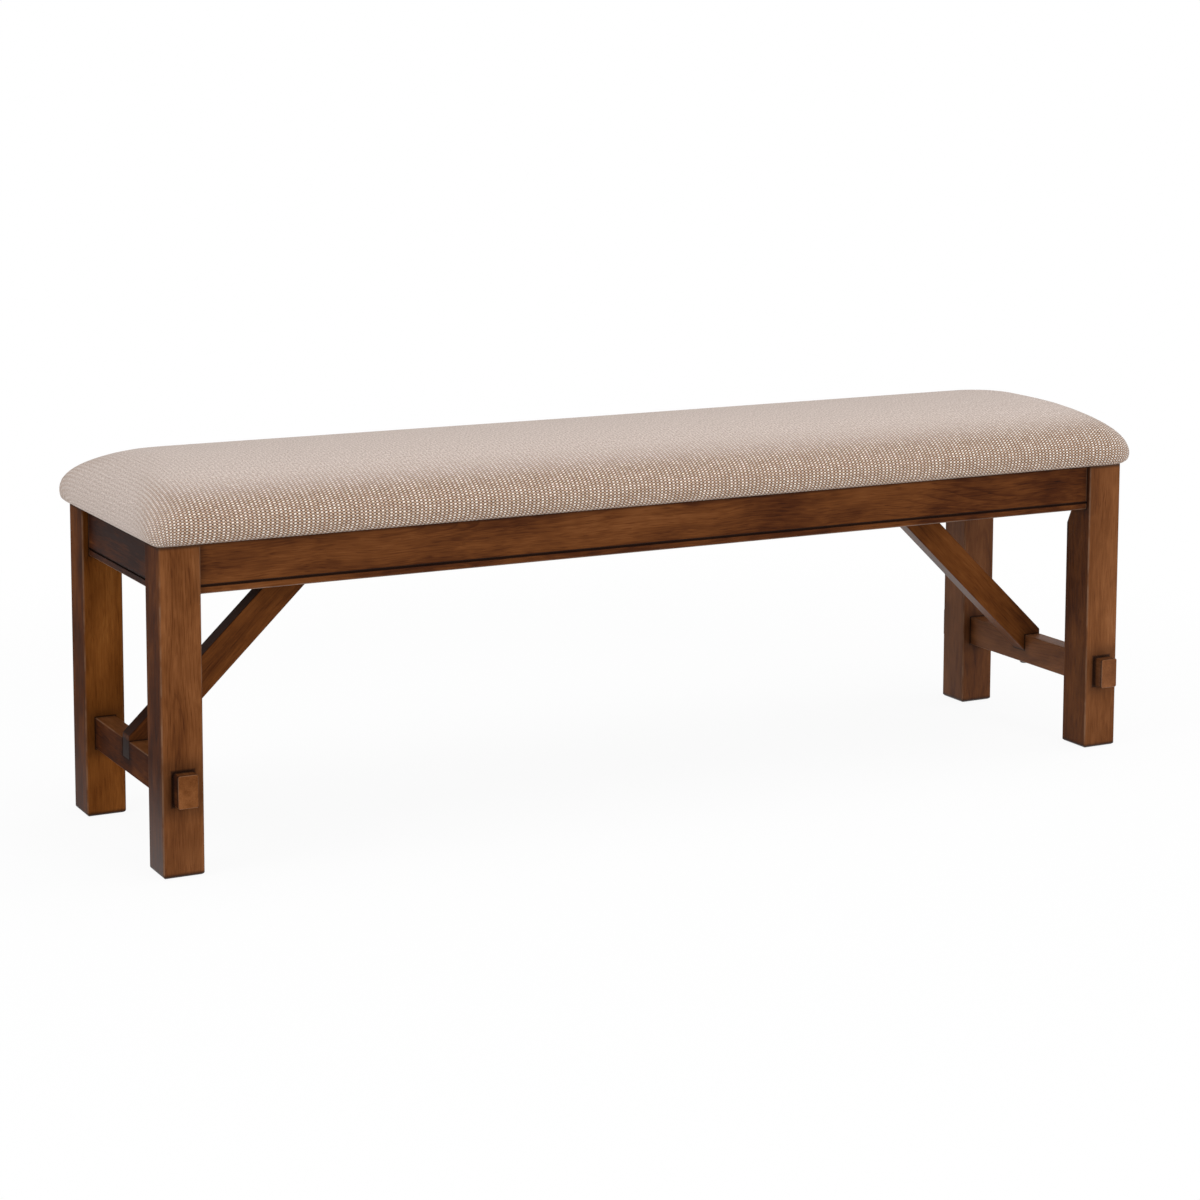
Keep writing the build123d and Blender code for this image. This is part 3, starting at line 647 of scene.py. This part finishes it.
swell.settings.vertex_group_mass = "held"
swell.settings.effector_weights.gravity = 0.0
swell.collision_settings.use_collision = False
for step in range(swelling_frames):
    bpy.context.scene.frame_set(step + 1)
take_result(pad)
bpy.context.scene.frame_set(1)

# Only the swelling outwards is kept, and it is evened out by taking each point's share from its neighbours.
facing = values_of(pad.data.vertex_normals, "vector", 3)
swelling = np.sum((values_of(pad.data.vertices, "co", 3) - before) * facing, axis=1)
swelling = np.clip(swelling, 0.0, most_swelling)
ends = values_of(pad.data.edges, "vertices", 2, np.int32)
ends = np.concatenate((ends, ends[:, ::-1]))
neighbours = np.bincount(ends[:, 0], minlength=len(before))
for turn in range(evening_turns):
    swelling = np.bincount(ends[:, 0], swelling[ends[:, 1]], len(before)) / neighbours
pad.data.vertices.foreach_set("co", (before + facing * swelling[:, None]).ravel())
smooth = pad.modifiers.new("ease", "SUBSURF")
smooth.levels = smooth.render_levels = 1
take_result(pad)

# The hem settles on the posts and rises a little at its rim, and its lower edge wanders by a millimetre.
settled, wander_size, wander_pitch = 0.002, 0.0011, 14.0
places = values_of(pad.data.vertices, "co", 3)
for index, (x, y, z) in enumerate(places):
    if z < post_top + widest:
        low = (post_top + widest - z) / (widest - settled)
        z = post_top + widest - widest * min(low, 1.0)
        wander = noise.noise(Vector((x * wander_pitch, y * wander_pitch, 0.3))) * wander_size
        z += max(0.0, wander) * (1.0 - abs(2.0 * low - 1.0)) if low < 1.0 else 0.0
    places[index] = (x, y, max(z, post_top))
pad.data.vertices.foreach_set("co", places.ravel())


def profile(roll):
    """Heights, half widths and arc lengths of one side of the pad, from the hem up to the crown's edge. The
    half widths are less the pad's own, and the arcs are measured down from the crown's edge."""
    turns = np.linspace(0.0, pi / 2, 60)
    upper = np.column_stack((-roll * (1 - np.sin(turns)), widest + (pad_rise - widest) * np.cos(turns)))
    lower = np.column_stack((-hem_draw * (1 - np.cos(turns)), widest * (1 - np.sin(turns))))
    line = np.vstack((upper, lower[1:]))
    steps = np.linalg.norm(np.diff(line, axis=0), axis=1)
    arcs = np.concatenate(((0.0,), np.cumsum(steps)))
    return line[::-1, 1], line[::-1, 0], arcs[::-1]


def ease(share):
    """A share from zero to one, made slow at both ends."""
    return share * share * (3 - 2 * share)


# The pad's corners are rounder towards the crown and sharper towards the hem than where it is widest. The
# columns start to turn a little before a corner and end beyond it, and a painted paleness rises from mid
# height: painted sheen of the weave seen at a grazing angle.
corner_round, corner_above, corner_below = 0.030, 0.030, 0.016
turn_before, turn_beyond = 0.022, 0.080
crown_from, crown_band = 0.54, 0.36


def cloth_place(places):
    """Where each point of the pad lies on the flat cloth, and how far a painted paleness hides the weave
    there:
    painted sheen of the weave seen at a grazing angle on the crown and ends. Columns run along v with u
    across them, and they turn from the side to the end round each corner."""
    x, y = np.abs(places[:, 0]), np.abs(places[:, 1])
    height = np.clip(places[:, 2] - post_top, 0.0, pad_rise)
    end_heights, end_places, end_arcs = profile(end_roll)
    side_heights, side_places, side_arcs = profile(side_roll)
    reach_x = half_long + np.interp(height, end_heights, end_places)
    reach_y = half_deep + np.interp(height, side_heights, side_places)
    excess_u = half_long - end_roll + np.interp(height, end_heights, end_arcs) - reach_x
    excess_v = crown_half + np.interp(height, side_heights, side_arcs) - reach_y
    rise = np.clip((height - widest) / (pad_rise - widest), -1.0, 1.0)
    corner = corner_round + np.where(rise > 0, corner_above, corner_below) * rise
    corner = np.minimum(corner, 0.8 * reach_y)
    past_x, past_y = x - (reach_x - corner), y - (reach_y - corner)
    angle = np.arctan2(np.maximum(past_x, 0.0), np.maximum(past_y, 1e-9))
    angle = np.where(past_x <= 0, 0.0, np.where(past_y <= 0, pi / 2, angle))
    along = corner * angle
    along = np.where(past_x <= 0, past_x, along)
    along = np.where((past_x > 0) & (past_y <= 0), corner * pi / 2 - past_y, along)
    beyond = np.minimum(turn_beyond, 0.8 * (reach_y - corner) + 0.004)
    turned = np.clip((along + turn_before) / (turn_before + corner * pi / 2 + beyond), 0.0, 1.0)
    turned = ease(turned) * pi / 2
    under = np.where(height < 0.0005, np.minimum(reach_x - x, reach_y - y), 0.0)
    u = x + np.sin(turned) * (excess_u + 2 * np.maximum(under, 0.0))
    v = y + np.cos(turned) * (excess_v + 2 * np.maximum(under, 0.0))
    crowned = ease(np.clip((height / pad_rise - crown_from) / crown_band, 0.0, 1.0))
    pale = np.maximum(np.sin(turned), crowned)
    return np.sign(places[:, 0]) * u, np.sign(places[:, 1]) * v, pale


u, v, pale = cloth_place(places)
cloth_map = pad.data.uv_layers.new(name="cloth")
loops = values_of(pad.data.loops, "vertex_index", 1, np.int32)[:, 0]
cloth_map.data.foreach_set("uv", np.column_stack((u[loops], v[loops])).astype(np.float32).ravel())
# Each point's share of painted sheen, which hides the weave.
grazing_pale = pad.data.attributes.new("grazing_pale", "FLOAT", "POINT")
grazing_pale.data.foreach_set("value", pale.astype(np.float32))

# Under the board the hem is open, and the board sits in the room above it.
open_x, open_y, hem_thick = 0.715, 0.160, 0.0014
beside_board, over_board, flat_below = 0.0004, 0.0003, post_top + 0.0004
bm = bmesh.new()
bm.from_mesh(pad.data)
for place, away in (((open_x, 0, 0), (1, 0, 0)), ((-open_x, 0, 0), (-1, 0, 0)),
                    ((0, open_y, 0), (0, 1, 0)), ((0, -open_y, 0), (0, -1, 0))):
    under = [face for face in bm.faces if face.calc_center_median().z < flat_below]
    parts = dict.fromkeys(part for face in under for part in (*face.verts, *face.edges))
    bmesh.ops.bisect_plane(bm, geom=[*under, *parts], plane_co=place, plane_no=away, dist=1e-7)
middles = [(face, face.calc_center_median()) for face in bm.faces]
opened = [face for face, middle in middles
          if middle.z < flat_below and abs(middle.x) < open_x and abs(middle.y) < open_y]
bmesh.ops.delete(bm, geom=opened, context="FACES")
rim = [edge for edge in bm.edges if edge.is_boundary]
steps = ((1.0, 1.0, hem_thick),
         ((board_high.x + beside_board) / open_x, (board_high.y + beside_board) / open_y, 0.0),
         (1.0, 1.0, board_high.z + over_board - post_top - hem_thick))
for stretch_x, stretch_y, lift in steps:
    grown = bmesh.ops.extrude_edge_only(bm, edges=rim)["geom"]
    rim = [part for part in grown if isinstance(part, bmesh.types.BMEdge)]
    for vert in {vert for edge in rim for vert in edge.verts}:
        vert.co = (vert.co.x * stretch_x, vert.co.y * stretch_y, vert.co.z + lift)
close_up(bm, rim, pad.data)
for polygon in pad.data.polygons:
    polygon.use_smooth = True


column_width, bead_pitch = 0.0060, 0.0039


def make_weave_group():
    """Cream floats in upright columns over a tan and brown ground. The map is in metres of flat cloth."""
    tree, given, gives = new_group("bead_weave", {"Vector": "Vector", "Grazing_pale": "Float"},
                                   {"Color": "Color", "Height": "Float"})
    place = wavered(tree, given.outputs["Vector"], 24.0, 2.0, (0.0032, 0.0032, 0.0))
    part = put(tree, "ShaderNodeSeparateXYZ", {0: place})
    column = calc(tree, "DIVIDE", part.outputs[0], column_width)
    number = calc(tree, "FLOOR", column)
    across = calc(tree, "SUBTRACT", calc(tree, "SUBTRACT", column, number), 0.5)
    slip = put(tree, "ShaderNodeTexWhiteNoise", {"W": number}, noise_dimensions="1D").outputs["Value"]
    row = calc(tree, "MULTIPLY_ADD", slip, 0.22, calc(tree, "DIVIDE", part.outputs[1], bead_pitch))
    count = calc(tree, "FLOOR", row)
    down = calc(tree, "SUBTRACT", calc(tree, "SUBTRACT", row, count), 0.5)
    cell = put(tree, "ShaderNodeCombineXYZ", {0: number, 1: count}).outputs[0]
    chance = put(tree, "ShaderNodeTexWhiteNoise", {"Vector": cell}, noise_dimensions="2D").outputs["Value"]

    def dot(aside, above, half_wide, half_tall):
        """How far out of a round dot a place lies: under one is inside it."""
        wide = calc(tree, "POWER", calc(tree, "DIVIDE", aside, half_wide), 2.0)
        tall = calc(tree, "POWER", calc(tree, "DIVIDE", above, half_tall), 2.0)
        return calc(tree, "ADD", wide, tall)

    slanted = calc(tree, "MULTIPLY_ADD", down, -0.16, across)
    far = dot(slanted, down, 0.30, 0.32)
    bead = spread(tree, far, 1.35, 0.45)
    beside = calc(tree, "SUBTRACT", 0.5, calc(tree, "ABSOLUTE", slanted))
    between = calc(tree, "SUBTRACT", 0.5, calc(tree, "ABSOLUTE", down))
    bridge = spread(tree, dot(beside, between, 0.30, 0.27), 1.4, 0.4)
    strand = spread(tree, cloudy(tree, place, 420.0, 2.0, 0.7).outputs[0], 0.3, 0.7)
    spun = vector_calc(tree, "MULTIPLY", place, (1.0, 0.45, 1.0))
    mottle = spread(tree, cloudy(tree, spun, 560.0, 3.0, 0.7).outputs[0], 0.36, 0.64)
    ground = mixed(tree, strand, (0.050, 0.019, 0.010, 1.0), (0.13, 0.058, 0.030, 1.0))
    tan = mixed(tree, strand, (0.40, 0.252, 0.160, 1.0), (0.61, 0.415, 0.282, 1.0))
    yarn = mixed(tree, chance, (0.95, 0.855, 0.77, 1.0), (0.62, 0.515, 0.435, 1.0))
    woven = mixed(tree, bead, mixed(tree, bridge, ground, tan), yarn)
    # The paler plain colour over the crown and ends is painted sheen of the weave seen at a grazing angle.
    grazing_pale_colour = mixed(tree, mottle, (0.385, 0.308, 0.268, 1.0), (0.705, 0.604, 0.555, 1.0))
    colour = mixed(tree, calc(tree, "MULTIPLY", given.outputs["Grazing_pale"], 0.78), woven, grazing_pale_colour)
    round_top = calc(tree, "SUBTRACT", 1.0, calc(tree, "MULTIPLY", far, 0.8))
    round_top = calc(tree, "SQRT", calc(tree, "MAXIMUM", round_top, 0.0))
    height = calc(tree, "MULTIPLY_ADD", bead, round_top, calc(tree, "MULTIPLY", bridge, 0.4))
    height = calc(tree, "MULTIPLY", height, calc(tree, "MULTIPLY_ADD", given.outputs["Grazing_pale"], -0.65, 1.0))
    height = calc(tree, "MULTIPLY_ADD", mottle, 0.3, height)
    return finished_group(tree, gives, Color=colour, Height=height)


hem_shade_height = 0.004
cover, tree = new_material("woven_cover")
flat = put(tree, "ShaderNodeUVMap", uv_map="cloth").outputs[0]
grazing_pale_share = put(tree, "ShaderNodeAttribute", attribute_name="grazing_pale").outputs["Fac"]
weave = group_node(tree, make_weave_group(), {"Vector": flat, "Grazing_pale": grazing_pale_share})
# The cover's lowest millimetres are darkened: painted shade where the hem turns under.
hem_shade = spread(tree, component(tree, own_place(tree), 2), post_top, post_top + hem_shade_height, 0.65, 0.0)
colour = mixed(tree, hem_shade, weave.outputs["Color"], (0.22, 0.135, 0.09, 1.0))
surface(tree, colour, 0.92, weave.outputs["Height"], 0.6, 0.0012, {
    "Specular IOR Level": 0.15, "Sheen Weight": 0.15, "Sheen Roughness": 0.5,
    "Sheen Tint": (1.0, 0.95, 0.90, 1.0)})
pad.data.materials.clear()
pad.data.materials.append(cover)
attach(pad, "root")
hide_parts("seat_foam", "seat_cover")


# Dust cover. A thin black non-woven sheet stapled under the seat board inside the hem, which keeps dust and
# foam crumbs in. It has the fine dimples of heat-bonded fibre.
stapled_at, sag = 0.4271, 0.00015
low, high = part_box("dust_cover")
long, deep = high.x - low.x, high.y - low.y
bm = bmesh.new()
bmesh.ops.create_grid(bm, x_segments=120, y_segments=28, size=0.5)
bmesh.ops.scale(bm, vec=(long, deep, 1.0), verts=bm.verts)
for vert in bm.verts:
    slack = cos(pi * vert.co.x / long) * cos(pi * vert.co.y / deep)
    ripple = noise.noise(Vector((vert.co.x * 9.0, vert.co.y * 16.0, 0.7)))
    vert.co.z = stapled_at - sag * max(slack, 0.0) * (1.0 + ripple)
dust_sheet = add_object("dust_sheet", bpy.data.meshes.new("dust_sheet"))
bm.to_mesh(dust_sheet.data)
bm.free()
thick = dust_sheet.modifiers.new("thickness", "SOLIDIFY")
thick.thickness = 0.0003
thick.offset = 1.0
felt, tree = new_material("dust_cloth")
dimple = put(tree, "ShaderNodeTexVoronoi", {"Vector": own_place(tree), "Scale": 620.0, "Randomness": 0.25})
fibre = cloudy(tree, own_place(tree), 900.0, 3.0).outputs[0]
shade = mixed(tree, fibre, (0.010, 0.010, 0.011, 1.0), (0.040, 0.040, 0.042, 1.0))
rough = calc(tree, "MULTIPLY_ADD", fibre, 0.2, 0.7)
surface(tree, shade, rough, dimple.outputs["Distance"], 0.5, 0.0003)
dust_sheet.data.materials.append(felt)
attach(dust_sheet, "root")
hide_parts("dust_cover")


bpy.context.view_layer.update()
